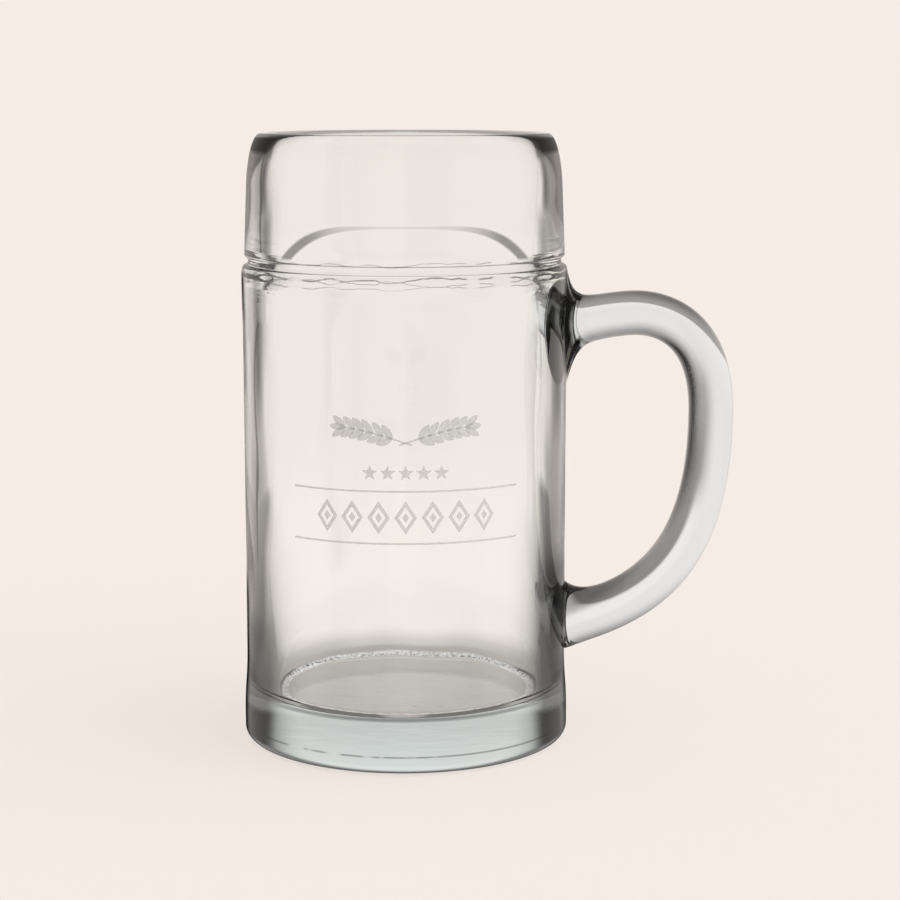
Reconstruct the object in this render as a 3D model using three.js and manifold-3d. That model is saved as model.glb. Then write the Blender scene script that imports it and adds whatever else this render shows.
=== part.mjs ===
// Half-litre glass beer mug: a thick-walled vessel with a drawn-in collar, and a solid
// glass handle joined to its side at two spread roots.
// Millimetres, +Z up. The origin is on the vessel's axis, at its standing face, and the
// handle lies in the XZ plane on the +X side.
import * as THREE from "three";
import { mergeVertices } from "three/addons/utils/BufferGeometryUtils.js";
import Module from "manifold-3d";

// Vessel
const HEIGHT = 160.4;
const BODY_RADIUS = 42.6;
const BODY_WALL = 6.8;
const FLOOR_THICKNESS = 12;
const FLOOR_CORNER = 4;

// Foot: the wall swells out to its widest a little above a rounded heel
const FOOT_SWELL = 0.7;
const FOOT_WIDEST_HEIGHT = 6;
const FOOT_HEIGHT = 24;
const HEEL_ROUND = 2.8;

// Shoulder: a slight swell that rolls over into the groove under the collar
const SHOULDER_SWELL = 0.4;
const SHOULDER_HEIGHT = 18;
const SHOULDER_ROLL_HEIGHT = 3.8;
const SHOULDER_ROLL_DEPTH = 1.2;
const GROOVE_WIDTH = 2.1;
const GROOVE_DEPTH = 1.1;

// Collar: the drinking rim above the groove, drawn in to a rounded lip
const COLLAR_HEIGHT = 32;
const COLLAR_SET_BACK = 0.6;
const COLLAR_TAPER = 0.7;
const COLLAR_WALL = 7;
const LIP_HEIGHT = 13.4;
const LIP_DRAW_IN = 4.1;
const LIP_UPRIGHT_SHARE = 0.6;
const LIP_INNER_ROUND = 3;

// Bead: the wall's inner bulge behind the groove
const BEAD_DEPTH = 1;
const BEAD_HEIGHT = 17;
const BEAD_SHARE_ABOVE = 0.4;

// Handle: centre line and section
const HANDLE_REACH = 44.4;
const HANDLE_THICKNESS = 11.8;
const HANDLE_WIDTH = 14;
const HANDLE_LOWER_THICKENING = 1;
const UPPER_ROOT_DROP = 14.9;
const LOWER_ROOT_HEIGHT = 30.1;
const LOWER_ROOT_SLOPE = THREE.MathUtils.degToRad(12.7);
const CROWN_OFFSET = 18.4;
const CROWN_RISE = 1.9;
const BELLY_DROP = 24.4;

// Handle: how full its two bends are, as shares of each bend's run and drop
const UPPER_BEND_RUN = 0.28;
const UPPER_BEND_DROP = 0.9;
const LOWER_BEND_DROP = 0.55;
const LOWER_BEND_RUN = 0.78;

// Handle: how far the roots spread at the wall, and how soon the spread dies out
const UPPER_ROOT = { over: 8.7, under: 11.1, side: 5, reach: 1.9 };
const LOWER_ROOT = { over: 0.8, under: 9.5, side: 4, reach: 3.7 };

// Clearance between the handle's roots and the wall that they are joined to
const JOINT_GAP = 0.3;

// Fineness of the curved surfaces
const TURN_STEPS = 64;
const CURVE_STEPS = 4;
const HANDLE_RINGS = 52;
const HANDLE_SIDES = 20;
const MERGE_DISTANCE = 1e-4;

// Heights and radii that follow from the sizes above
const grooveTop = HEIGHT - COLLAR_HEIGHT;
const grooveBottom = grooveTop - GROOVE_WIDTH;
const shoulderTop = grooveBottom - SHOULDER_ROLL_HEIGHT;
const footRadius = BODY_RADIUS + FOOT_SWELL;
const shoulderRadius = BODY_RADIUS + SHOULDER_SWELL;
const collarRadius = BODY_RADIUS - COLLAR_SET_BACK;
const lipFoot = HEIGHT - LIP_HEIGHT;
const lipFootRadius = collarRadius - COLLAR_TAPER;
const lipRadius = lipFootRadius - LIP_DRAW_IN;
const boreRadius = BODY_RADIUS - BODY_WALL;
const collarBoreRadius = collarRadius - COLLAR_WALL;
const beadTop = grooveTop - GROOVE_WIDTH / 2 + BEAD_HEIGHT * BEAD_SHARE_ABOVE;
const upperRootHeight = grooveBottom - UPPER_ROOT_DROP;

/** Adds a bend from the path's end to (radius, height) that leaves and arrives upright. */
function easeUpright(path, radius, height) {
  const start = path.currentPoint.clone();
  const middle = (start.y + height) / 2;
  path.bezierCurveTo(start.x, middle, radius, middle, radius, height);
}

/** Traces the outer wall upward from the heel to the shoulder, moved out by a clearance. */
function traceBody(path, clearance) {
  const out = (radius) => radius + clearance;
  path.lineTo(out(footRadius - HEEL_ROUND), 0);
  path.absarc(out(footRadius - HEEL_ROUND), HEEL_ROUND, HEEL_ROUND, -Math.PI / 2, 0, false);
  path.lineTo(out(footRadius), FOOT_WIDEST_HEIGHT);
  easeUpright(path, out(BODY_RADIUS), FOOT_HEIGHT);
  path.lineTo(out(BODY_RADIUS), shoulderTop - SHOULDER_HEIGHT);
  easeUpright(path, out(shoulderRadius), shoulderTop);
}

/** Traces the outer wall on upward: the shoulder's roll, the groove, the collar and the lip. */
function traceCollar(path) {
  const grooveRadius = collarRadius - GROOVE_DEPTH;
  path.quadraticCurveTo(
    shoulderRadius, grooveBottom, shoulderRadius - SHOULDER_ROLL_DEPTH, grooveBottom,
  );
  path.bezierCurveTo(
    grooveRadius, grooveBottom, grooveRadius, grooveTop, collarRadius, grooveTop,
  );
  path.lineTo(lipFootRadius, lipFoot);
  path.bezierCurveTo(
    lipFootRadius - COLLAR_TAPER / 2, lipFoot + LIP_HEIGHT * LIP_UPRIGHT_SHARE,
    lipRadius + LIP_DRAW_IN / 2, HEIGHT,
    lipRadius, HEIGHT,
  );
}

/** Traces the inner wall downward from the lip's crest to the middle of the floor. */
function traceInnerWall(path) {
  const beadMiddle = beadTop - BEAD_HEIGHT / 2;
  const beadRadius = collarBoreRadius - BEAD_DEPTH;
  const cornerHeight = FLOOR_THICKNESS + FLOOR_CORNER;
  path.quadraticCurveTo(collarBoreRadius, HEIGHT, collarBoreRadius, HEIGHT - LIP_INNER_ROUND);
  path.lineTo(collarBoreRadius, beadTop);
  easeUpright(path, beadRadius, beadMiddle);
  easeUpright(path, boreRadius, beadTop - BEAD_HEIGHT);
  path.lineTo(boreRadius, cornerHeight);
  path.absarc(boreRadius - FLOOR_CORNER, cornerHeight, FLOOR_CORNER, 0, -Math.PI / 2, true);
  path.lineTo(0, FLOOR_THICKNESS);
}

/** Turns a closed profile of radius and height about the Z axis. */
function turned(path) {
  const geometry = new THREE.LatheGeometry(path.getPoints(CURVE_STEPS), TURN_STEPS);
  return geometry.rotateX(Math.PI / 2);
}

/** The vessel: its outer and inner walls meet at the lip's crest. */
function vesselGeometry() {
  const path = new THREE.Path();
  path.moveTo(0, 0);
  traceBody(path, 0);
  traceCollar(path);
  traceInnerWall(path);
  return turned(path);
}

/** The space that the handle keeps clear of: the body, filled and carried up, with the joint gap. */
function clearedCoreGeometry() {
  const path = new THREE.Path();
  path.moveTo(0, 0);
  traceBody(path, JOINT_GAP);
  path.lineTo(shoulderRadius + JOINT_GAP, HEIGHT);
  path.lineTo(0, HEIGHT);
  return turned(path);
}

/** The handle's centre line, from inside the wall at the upper root to inside it at the lower. */
function handleCentreLine() {
  const at = (x, z) => new THREE.Vector3(x, 0, z);
  const sunk = BODY_WALL / 2;
  const upperRoot = at(BODY_RADIUS, upperRootHeight);
  const crown = at(BODY_RADIUS + CROWN_OFFSET, upperRootHeight + CROWN_RISE);
  const bellyX = BODY_RADIUS + HANDLE_REACH - HANDLE_THICKNESS / 2;
  const belly = at(bellyX, upperRootHeight - BELLY_DROP);
  const lowerRoot = at(BODY_RADIUS, LOWER_ROOT_HEIGHT);
  const lowerRun = at(Math.cos(LOWER_ROOT_SLOPE), Math.sin(LOWER_ROOT_SLOPE));
  const risePull = at(CROWN_OFFSET / 3, 0);
  const upperPull = at((belly.x - crown.x) * UPPER_BEND_RUN, 0);
  const upperDrop = at(0, (crown.z - belly.z) * UPPER_BEND_DROP);
  const lowerDrop = at(0, (lowerRoot.z - belly.z) * LOWER_BEND_DROP);
  const lowerPull = lowerRun.clone().multiplyScalar((belly.x - lowerRoot.x) * LOWER_BEND_RUN);

  const line = new THREE.CurvePath();
  line.add(new THREE.LineCurve3(upperRoot.clone().sub(at(sunk, 0)), upperRoot));
  line.add(new THREE.CubicBezierCurve3(
    upperRoot, upperRoot.clone().add(risePull), crown.clone().sub(risePull), crown,
  ));
  line.add(new THREE.CubicBezierCurve3(
    crown, crown.clone().add(upperPull), belly.clone().add(upperDrop), belly,
  ));
  line.add(new THREE.CubicBezierCurve3(
    belly, belly.clone().add(lowerDrop), lowerRoot.clone().add(lowerPull), lowerRoot,
  ));
  line.add(new THREE.LineCurve3(
    lowerRoot, lowerRoot.clone().addScaledVector(lowerRun, -sunk),
  ));
  return line;
}

/** The handle's half sizes at a distance along its centre line: over, under and to each side. */
function handleSection(distance, lengths) {
  const [sunk, , bellyEnd, rootEnd] = lengths;
  const past = THREE.MathUtils.smoothstep(distance, bellyEnd, rootEnd);
  const spread = (root, away) => Math.exp(-Math.abs(away) / root.reach);
  const upper = spread(UPPER_ROOT, distance - sunk);
  const lower = spread(LOWER_ROOT, rootEnd - distance);
  const half = (HANDLE_THICKNESS + HANDLE_LOWER_THICKENING * past) / 2;
  return {
    over: half + UPPER_ROOT.over * upper + LOWER_ROOT.over * lower,
    under: half + UPPER_ROOT.under * upper + LOWER_ROOT.under * lower,
    side: HANDLE_WIDTH / 2 + UPPER_ROOT.side * upper + LOWER_ROOT.side * lower,
  };
}

/** The handle before it is cut to the wall: oval rings along the centre line, closed at both ends. */
function handleBlankGeometry() {
  const line = handleCentreLine();
  const lengths = line.getCurveLengths();
  const total = lengths[lengths.length - 1];
  const across = new THREE.Vector3(0, 1, 0);
  const positions = [];
  const indices = [];
  for (let ring = 0; ring <= HANDLE_RINGS; ring += 1) {
    const share = (1 - Math.cos(Math.PI * ring / HANDLE_RINGS)) / 2;
    const centre = line.getPoint(share);
    const outward = line.getTangent(share).cross(across);
    const { over, under, side } = handleSection(share * total, lengths);
    for (let step = 0; step < HANDLE_SIDES; step += 1) {
      const angle = 2 * Math.PI * step / HANDLE_SIDES;
      const rise = Math.cos(angle) * (Math.cos(angle) > 0 ? over : under);
      const point = centre.clone().addScaledVector(outward, rise);
      point.addScaledVector(across, side * Math.sin(angle));
      positions.push(point.x, point.y, point.z);
    }
  }
  for (let ring = 0; ring < HANDLE_RINGS; ring += 1) {
    for (let step = 0; step < HANDLE_SIDES; step += 1) {
      const next = (step + 1) % HANDLE_SIDES;
      const here = ring * HANDLE_SIDES;
      const beyond = here + HANDLE_SIDES;
      indices.push(here + step, beyond + step, here + next);
      indices.push(here + next, beyond + step, beyond + next);
    }
  }
  const lastRing = HANDLE_RINGS * HANDLE_SIDES;
  for (let step = 1; step < HANDLE_SIDES - 1; step += 1) {
    indices.push(0, step, step + 1);
    indices.push(lastRing, lastRing + step + 1, lastRing + step);
  }
  const geometry = new THREE.BufferGeometry();
  geometry.setAttribute("position", new THREE.Float32BufferAttribute(positions, 3));
  geometry.setIndex(indices);
  return geometry;
}

const wasm = await Module();
wasm.setup();

/** A solid with its shared points merged, ready to be cut. */
function solidOf(geometry) {
  const bare = new THREE.BufferGeometry();
  bare.setAttribute("position", geometry.getAttribute("position"));
  bare.setIndex(geometry.getIndex());
  const merged = mergeVertices(bare, MERGE_DISTANCE);
  const mesh = new wasm.Mesh({
    numProp: 3,
    vertProperties: new Float32Array(merged.getAttribute("position").array),
    triVerts: new Uint32Array(merged.getIndex().array),
  });
  mesh.merge();
  return new wasm.Manifold(mesh);
}

/** The mesh of a cut solid. */
function geometryOf(solid) {
  const mesh = solid.getMesh();
  const geometry = new THREE.BufferGeometry();
  geometry.setAttribute("position", new THREE.BufferAttribute(mesh.vertProperties, 3));
  geometry.setIndex(new THREE.BufferAttribute(mesh.triVerts, 1));
  geometry.computeVertexNormals();
  return geometry;
}

/** The handle, with both roots cut to the curve of the wall. */
function handleGeometry() {
  return geometryOf(solidOf(handleBlankGeometry()).subtract(solidOf(clearedCoreGeometry())));
}

/** One named piece of clear glass. */
function glassPiece(name, geometry) {
  const material = new THREE.MeshStandardMaterial({
    color: 0xe3e8e5, roughness: 0.05, metalness: 0, transparent: true, opacity: 0.45,
  });
  const mesh = new THREE.Mesh(geometry, material);
  mesh.name = name;
  return mesh;
}

const mug = new THREE.Group();
mug.add(glassPiece("vessel", vesselGeometry()));
mug.add(glassPiece("handle", handleGeometry()));

export default mug;
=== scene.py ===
"""Looks of the glass beer mug: clear vessel and handle, etched front, pale studio."""
import logging
import math
from dataclasses import dataclass, field
from enum import Enum
from functools import reduce
from typing import Any, Iterable, Sequence, Union

import bpy
import numpy as np
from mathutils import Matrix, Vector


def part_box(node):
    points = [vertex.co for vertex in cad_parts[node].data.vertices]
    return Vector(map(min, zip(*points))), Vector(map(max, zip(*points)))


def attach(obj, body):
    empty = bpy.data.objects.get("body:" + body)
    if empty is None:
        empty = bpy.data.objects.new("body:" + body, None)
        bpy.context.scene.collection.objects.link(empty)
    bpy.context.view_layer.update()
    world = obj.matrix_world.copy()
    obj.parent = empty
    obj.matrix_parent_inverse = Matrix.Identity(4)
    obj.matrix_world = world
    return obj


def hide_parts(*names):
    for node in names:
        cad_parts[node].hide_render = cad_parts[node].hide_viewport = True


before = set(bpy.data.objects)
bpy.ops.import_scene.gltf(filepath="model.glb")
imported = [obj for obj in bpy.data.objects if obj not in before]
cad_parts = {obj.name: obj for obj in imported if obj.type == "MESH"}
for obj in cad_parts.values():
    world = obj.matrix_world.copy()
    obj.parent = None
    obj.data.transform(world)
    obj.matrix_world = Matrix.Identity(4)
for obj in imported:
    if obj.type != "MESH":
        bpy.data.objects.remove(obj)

LOG = logging.getLogger("beer_mug")
MM = 0.001
WHITE = (1.0, 1.0, 1.0)
EVEN_BLEND = 0.5
EVERY_SLANT = (-1.0, 0.0)
NOISE_DETAIL = 2.0
NOISE_MIDDLE = 0.5
FACES_OF_A_WALL = 2
MIX_FIRST, MIX_SECOND, MIX_RESULT = 6, 7, 2
RIGHT_ANGLE = 90.0
QUAD_CORNERS = 4

Number = Union[float, "Socket"]
Colour = tuple[float, float, float]
Tint = Union[Colour, "Socket"]
Axes = tuple[float, float, float]
Span = tuple[float, float]


class Turn(Enum):
    """A side of the mug, seen from the front."""

    LEFT = -1
    RIGHT = 1


class Socket:
    """A shader socket; arithmetic on it adds Math nodes."""

    def __init__(self, graph: "ShaderGraph", output: bpy.types.NodeSocket) -> None:
        """Keeps the graph that the socket belongs to."""
        self.graph = graph
        self.output = output

    def math(self, operation: str, *values: Number) -> "Socket":
        """Adds one Math node.

        Args:
            operation: The Math node's operation.
            values: Its inputs in order.

        Returns:
            The node's result.
        """
        inputs = dict(enumerate(values))
        return self.graph.node("ShaderNodeMath", {"operation": operation}, inputs)

    def __add__(self, other: Number) -> "Socket":
        """This value plus another."""
        return self.math("ADD", self, other)

    __radd__ = __add__

    def __sub__(self, other: Number) -> "Socket":
        """This value less another."""
        return self.math("SUBTRACT", self, other)

    def __rsub__(self, other: Number) -> "Socket":
        """Another value less this one."""
        return self.math("SUBTRACT", other, self)

    def __mul__(self, other: Number) -> "Socket":
        """This value times another."""
        return self.math("MULTIPLY", self, other)

    __rmul__ = __mul__

    def __truediv__(self, other: Number) -> "Socket":
        """This value over another."""
        return self.math("DIVIDE", self, other)

    def __rtruediv__(self, other: Number) -> "Socket":
        """Another value over this one."""
        return self.math("DIVIDE", other, self)

    def __pow__(self, other: Number) -> "Socket":
        """This value to a power."""
        return self.math("POWER", self, other)

    def __abs__(self) -> "Socket":
        """This value without its sign."""
        return self.math("ABSOLUTE", self)

    def root(self) -> "Socket":
        """The square root of this value."""
        return self.math("SQRT", self)

    def above(self, other: Number) -> "Socket":
        """1 where this value is larger than another, 0 elsewhere."""
        return self.math("GREATER_THAN", self, other)

    def least(self, other: Number) -> "Socket":
        """The smaller of this value and another."""
        return self.math("MINIMUM", self, other)

    def most(self, other: Number) -> "Socket":
        """The larger of this value and another."""
        return self.math("MAXIMUM", self, other)

    def hump(self) -> "Socket":
        """1 where this value is 0, falling by its square to 0 where it is 1 either way."""
        return 1 - (self * self).least(1.0)

    def smooth_from(self, low: Number, high: Number) -> "Socket":
        """A soft step: 0 below low, 1 above high.

        Args:
            low: Where the step starts.
            high: Where the step ends.

        Returns:
            The step's value.
        """
        settings = {"interpolation_type": "SMOOTHSTEP"}
        return self.graph.node("ShaderNodeMapRange", settings, {0: self, 1: low, 2: high})


def most_of(shares: Iterable[Socket]) -> Socket:
    """The largest of several shares."""
    return reduce(Socket.most, shares)


class ShaderGraph:
    """The node tree of one material or world."""

    def __init__(self, tree: bpy.types.NodeTree) -> None:
        """Starts from an empty tree."""
        self.tree = tree
        tree.nodes.clear()

    def node(
        self,
        kind: str,
        settings: dict[str, Any],
        inputs: dict[Union[str, int], Any],
        output: Union[str, int] = 0,
    ) -> Socket:
        """Adds any node.

        Args:
            kind: The node's type.
            settings: Its properties, set before its sockets.
            inputs: Values or links, by the socket's name or place.
            output: The output that is handed back, by name or place.

        Returns:
            The chosen output, ready for arithmetic.
        """
        made = self.tree.nodes.new(kind)
        for name, value in settings.items():
            setattr(made, name, value)
        for name, value in inputs.items():
            if isinstance(value, Socket):
                self.tree.links.new(value.output, made.inputs[name])
            else:
                made.inputs[name].default_value = value
        outputs = made.outputs
        return Socket(self, outputs[output] if len(outputs) else None)

    def place(self) -> Socket:
        """The shaded point, in the object's own coordinates."""
        return self.node("ShaderNodeTexCoord", {}, {}, "Object")

    def axes(self, vector: Socket) -> tuple[Socket, ...]:
        """The X, Y and Z of a vector."""
        split = self.node("ShaderNodeSeparateXYZ", {}, {0: vector})
        return tuple(Socket(self, output) for output in split.output.node.outputs)

    def along(self, vector: Socket, direction: Axes) -> Socket:
        """How far a vector points in a direction."""
        settings = {"operation": "DOT_PRODUCT"}
        return self.node("ShaderNodeVectorMath", settings, {0: vector, 1: direction}, "Value")

    def noise(self, place: Socket, scale: float) -> Socket:
        """An uneven pattern of one size."""
        inputs = {"Vector": place, "Scale": scale, "Detail": NOISE_DETAIL}
        return self.node("ShaderNodeTexNoise", {}, inputs)

    def stretched(self, place: Socket, scale: Axes) -> Socket:
        """A place scaled along each axis, so that a pattern on it is drawn out."""
        return self.node("ShaderNodeMapping", {}, {"Vector": place, "Scale": scale})

    def light_path(self, name: str) -> Socket:
        """What kind of ray is being shaded."""
        return self.node("ShaderNodeLightPath", {}, {}, name)

    def past_a_wall(self) -> Socket:
        """1 for light that has crossed more than the two faces of one wall, 0 for the rest."""
        crossed = self.light_path("Transmission Depth")
        return (crossed - FACES_OF_A_WALL).most(0.0).least(1.0)

    def scaled(self, colour: Colour, share: Socket) -> Socket:
        """A colour times a number, which may be over 1."""
        settings = {"operation": "SCALE"}
        return self.node("ShaderNodeVectorMath", settings, {0: colour, "Scale": share})

    def mix_colour(self, factor: Number, low: Tint, high: Tint) -> Socket:
        """Blends two colours.

        Args:
            factor: 0 gives the first colour and 1 the second.
            low: The first colour.
            high: The second colour.

        Returns:
            The blended colour.
        """
        settings = {"data_type": "RGBA", "clamp_factor": True}
        inputs = {0: factor, MIX_FIRST: with_alpha(low), MIX_SECOND: with_alpha(high)}
        return self.node("ShaderNodeMix", settings, inputs, MIX_RESULT)

    def mix_shader(self, factor: Number, low: Socket, high: Socket) -> Socket:
        """Blends two shaders, by the same rule as two colours."""
        return self.node("ShaderNodeMixShader", {}, {0: factor, 1: low, 2: high})


def with_alpha(colour: Tint) -> Union[tuple[float, ...], Socket]:
    """A colour with full alpha, or a socket as it is."""
    return colour if isinstance(colour, Socket) else (*colour, 1.0)


def new_material(name: str) -> tuple[bpy.types.Material, ShaderGraph]:
    """Makes an empty material.

    Args:
        name: The material's name.

    Returns:
        The material and its graph.
    """
    material = bpy.data.materials.new(name)
    material.use_nodes = True
    return material, ShaderGraph(material.node_tree)


class GlassPoint:
    """Where and how a ray meets the glass, as sockets that all parts of a finish share.

    Attributes:
        graph: The material's graph.
        place: The point, and x, y, z and away its coordinates and its distance from the Z axis.
        normal: The face's direction, and rise its upward part.
        behind: 1 where the face is met from within the glass, and front the opposite.
        facing: 0 where the face is seen square on, rising to 1 where it is seen side-on.
    """

    def __init__(self, graph: ShaderGraph) -> None:
        """Adds the nodes.

        Args:
            graph: The material's graph.
        """
        self.graph = graph
        self.place = graph.place()
        self.x, self.y, self.z = graph.axes(self.place)
        self.away = (self.x * self.x + self.y * self.y).root()
        self.normal = graph.node("ShaderNodeNewGeometry", {}, {}, "Normal")
        self.rise = graph.axes(self.normal)[2]
        self.behind = graph.node("ShaderNodeNewGeometry", {}, {}, "Backfacing")
        self.front = 1 - self.behind
        self.facing = graph.node("ShaderNodeLayerWeight", {}, {"Blend": EVEN_BLEND}, "Facing")

    def pattern(self, run: Axes, scale: float) -> Socket:
        """An uneven pattern that is drawn out along the axes."""
        return self.graph.noise(self.graph.stretched(self.place, run), scale)


@dataclass(frozen=True)
class ClearGlass:
    """Fire-polished glass, with painted shade along the edges where an upright wall is seen side-on.
    """

    name: str = "clear_glass"
    face_tint: Colour = (0.985, 0.99, 0.988)
    # Painted shade: edges seen side-on are tinted dark.
    edge_shade_tint: Colour = (0.16, 0.165, 0.16)
    edge_facing: Span = (0.32, 0.85)
    level_rise: Span = (0.55, 0.9)
    refraction: float = 1.5
    absorbed_tint: Colour = (0.36, 0.76, 0.89)
    absorbed_per_metre: float = 4.0
    wave_scale: float = 60.0
    wave_depth: float = 0.008 * MM
    wave_unit: float = 1.0
    frost_and_glow_tint: Colour = (0.93, 0.92, 0.9)
    painted_frost_glow: float = 0.35
    outline_shade_tint: Colour = (0.008, 0.008, 0.008)

    def wave(self, at: GlassPoint) -> Socket:
        """The height of the faint waves in the surface."""
        return at.graph.noise(at.place, self.wave_scale) * self.wave_depth

    def frost(self, at: GlassPoint) -> Number:
        """The surface is polished all over."""
        return 0.0

    def outline(self, at: GlassPoint) -> Number:
        """No painted black outline."""
        return 0.0

    def unbent(self, at: GlassPoint) -> Number:
        """No light passes without being bent."""
        return 0.0

    def edge(self, at: GlassPoint) -> Socket:
        """0 on level faces and where a face is seen square on, rising to 1 side-on."""
        upright = 1 - abs(at.rise).smooth_from(*self.level_rise)
        return at.facing.smooth_from(*self.edge_facing) * upright

    def tint(self, at: GlassPoint) -> Socket:
        """The share of each colour that a face lets through: the glass's tint, with painted shade
        along the edges.
        """
        return at.graph.mix_colour(self.edge(at), self.face_tint, self.edge_shade_tint)

    def material(self) -> bpy.types.Material:
        """Makes the glass.

        Returns:
            A material that transmits light, with faint waves in its surface, and with the finish's
            own shares of frost with a painted glow, of painted black shade and of unbent light.
        """
        material, graph = new_material(self.name)
        at = GlassPoint(graph)
        waves = {"Height": self.wave(at), "Distance": self.wave_unit}
        clear = {
            "Base Color": self.tint(at),
            "Roughness": 0.0,
            "IOR": self.refraction,
            "Transmission Weight": 1.0,
            "Normal": graph.node("ShaderNodeBump", {}, waves),
        }
        white = with_alpha(self.frost_and_glow_tint)
        # The frost's matt skin also glows a little: a painted highlight.
        matt = {
            "Base Color": white,
            "Roughness": 1.0,
            "Emission Color": white,
            "Emission Strength": self.painted_frost_glow,
        }
        # Painted shade: a black matt skin where the finish paints dark outlines.
        black = {"Color": with_alpha(self.outline_shade_tint)}
        surface = graph.node("ShaderNodeBsdfPrincipled", {}, clear)
        for share, other in (
            (self.frost(at), graph.node("ShaderNodeBsdfPrincipled", {}, matt)),
            (self.outline(at), graph.node("ShaderNodeBsdfDiffuse", {}, black)),
            (self.unbent(at), graph.node("ShaderNodeBsdfTransparent", {}, {})),
        ):
            surface = graph.mix_shader(share, surface, other)
        absorbed = {"Color": with_alpha(self.absorbed_tint), "Density": self.absorbed_per_metre}
        body = graph.node("ShaderNodeVolumeAbsorption", {}, absorbed)
        graph.node("ShaderNodeOutputMaterial", {}, {"Surface": surface, "Volume": body})
        return material


@dataclass(frozen=True)
class RingShade:
    """A painted dark line round the outer wall, which fades where the wall is seen side-on."""

    height: float
    half: float
    cover: float
    fade: Span

    def share(self, at: GlassPoint) -> Socket:
        """The line's cover in its middle, falling to 0 at its sides."""
        line = ((at.z - self.height) / self.half).hump()
        return line * (1 - at.facing.smooth_from(*self.fade)) * self.cover


@dataclass(frozen=True)
class Scrawl:
    """A thin wavy painted dark line round the outer wall, thicker where the wall is seen side-on."""

    height: float
    half: float
    cover: float
    wander: float
    growth: float = 0.4 * MM

    def share(self, at: GlassPoint, uneven: Socket) -> Socket:
        """How much of the line a place shows.

        Args:
            at: The point on the wall.
            uneven: A pattern about one half, which the line's height follows.

        Returns:
            The line's cover in its middle, falling to 0 at its sides.
        """
        middle = (uneven - NOISE_MIDDLE) * self.wander + self.height
        off = (at.z - middle) / (at.facing * self.growth + self.half)
        return off.hump() * self.cover


@dataclass(frozen=True)
class WallArc:
    """A painted dark bow in the side of the wall, where it is seen at one slant."""

    facing: float
    half: float
    lean: float
    height: float
    reach: float
    cover: float
    turns: tuple[Turn, ...] = tuple(Turn)
    middle: float = 25 * MM

    def share(self, at: GlassPoint) -> Socket:
        """How much of the bow a place shows.

        The slant falls off by the square of the distance from the bow's middle height.

        Args:
            at: The point on the wall.

        Returns:
            The bow's cover in its middle, falling to 0 at its sides and ends.
        """
        off_height = (at.z - self.height) / self.reach
        square = off_height * off_height
        off = (at.facing - self.facing + square * self.lean) / self.half
        ends = 1 - square.smooth_from(0.0, 1.0)
        sides = sum((at.x * turn.value).smooth_from(-self.middle, self.middle) for turn in self.turns)
        return off.hump() * ends * sides * self.cover


@dataclass(frozen=True)
class BeadBowShade:
    """A painted dark bow across the collar, which stands in for the bead inside it seen through the
    glass.
    """

    height: float = 138.1 * MM
    drop: float = 78 * MM
    half: float = 0.3 * MM
    growth: float = 6.4 * MM
    core: Span = (0.2, 1.0)
    fade: Span = (0.0, 0.22)
    cover: Span = (0.35, 0.95)
    collar_foot: Span = (129 * MM, 130 * MM)
    tint: Colour = (0.06, 0.06, 0.06)

    def share(self, at: GlassPoint) -> Socket:
        """How much of the bow a place shows.

        The bow's height falls by the square of the facing, and it is thicker and darker the more
        obliquely the wall is seen.

        Args:
            at: The point on the wall.

        Returns:
            The bow's cover in its middle, falling to 0 at its sides and under the collar.
        """
        middle = self.height - at.facing * at.facing * self.drop
        off = (at.z - middle) / (at.facing * self.growth + self.half)
        line = 1 - (off * off).smooth_from(*self.core)
        faint, strong = self.cover
        cover = at.facing.smooth_from(*self.fade) * (strong - faint) + faint
        return line * cover * at.z.smooth_from(*self.collar_foot)


@dataclass(frozen=True)
class FootShade:
    """Painted shade at the foot of the wall, which reaches higher on the right."""

    right: Span = (-25 * MM, 25 * MM)
    right_lift: float = 16 * MM
    grey_facing: Span = (0.24, 0.52)
    grey_height: Span = (14 * MM, 66 * MM)
    tint: Colour = (0.05, 0.05, 0.05)
    black_facing: Span = (0.36, 0.62)
    black_start: Span = (15 * MM, 19 * MM)
    black_height: Span = (30 * MM, 40 * MM)
    black_cover: Span = (0.36, 0.45)

    def height(self, at: GlassPoint) -> Socket:
        """A point's height, less the lift on the right."""
        return at.z - at.x.smooth_from(*self.right) * self.right_lift

    def grey(self, at: GlassPoint) -> Socket:
        """1 low on the wall where it is seen side-on, fading upward and towards the middle."""
        low = 1 - self.height(at).smooth_from(*self.grey_height)
        return at.facing.smooth_from(*self.grey_facing) * low

    def black(self, at: GlassPoint) -> Socket:
        """How much painted black shade the foot has, over the slab of the base.

        Args:
            at: The point on the wall.

        Returns:
            The cover of its side low on the wall where it is seen side-on, 0 elsewhere.
        """
        left_cover, right_cover = self.black_cover
        cover = at.x.smooth_from(*self.right) * (right_cover - left_cover) + left_cover
        low = 1 - self.height(at).smooth_from(*self.black_height)
        slant = at.facing.smooth_from(*self.black_facing)
        return at.z.smooth_from(*self.black_start) * low * slant * cover


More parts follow.
